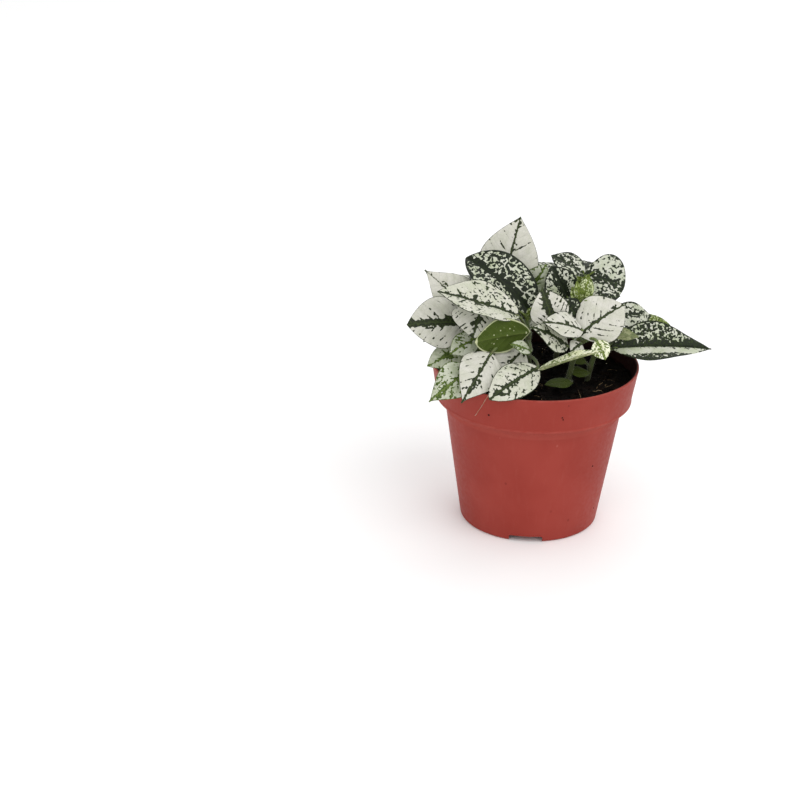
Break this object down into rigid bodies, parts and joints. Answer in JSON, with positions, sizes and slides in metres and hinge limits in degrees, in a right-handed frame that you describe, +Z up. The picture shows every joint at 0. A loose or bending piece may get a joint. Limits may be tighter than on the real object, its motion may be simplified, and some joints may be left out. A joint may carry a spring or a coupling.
{
  "type": "potted polka dot plant",
  "caption": "Bushy polka dot plant with white leaves netted and spotted in dark green, growing in dark soil in a terracotta-coloured plastic grower pot.",
  "frame": {"origin": "on the pot's axis, on the plane that the pot stands on", "axes": "+Z up; the widest view of the leaves and one of the pot's foot notches face -Y; the long single leaf reaches out to +X"},
  "size_m": [0.1538, 0.1096, 0.1534],
  "materials": {
    "pot_plastic": "satin moulded plastic, terracotta red",
    "potting_soil": "moist dark peat with crumbs and fibres",
    "leaf_pale": "soft leaf, cream white with a dark green net",
    "leaf_mottled": "soft leaf, dark green mottled with cream"
  },
  "bodies": {
    "root": {"pot": "pot_plastic", "soil": "potting_soil", "shoot_front_left": "leaf_pale", "shoot_front_right": "leaf_pale", "shoot_right": "leaf_mottled", "shoot_left": "leaf_pale", "shoot_back_left": "leaf_pale", "shoot_back_right": "leaf_mottled"}
  },
  "joints": []
}
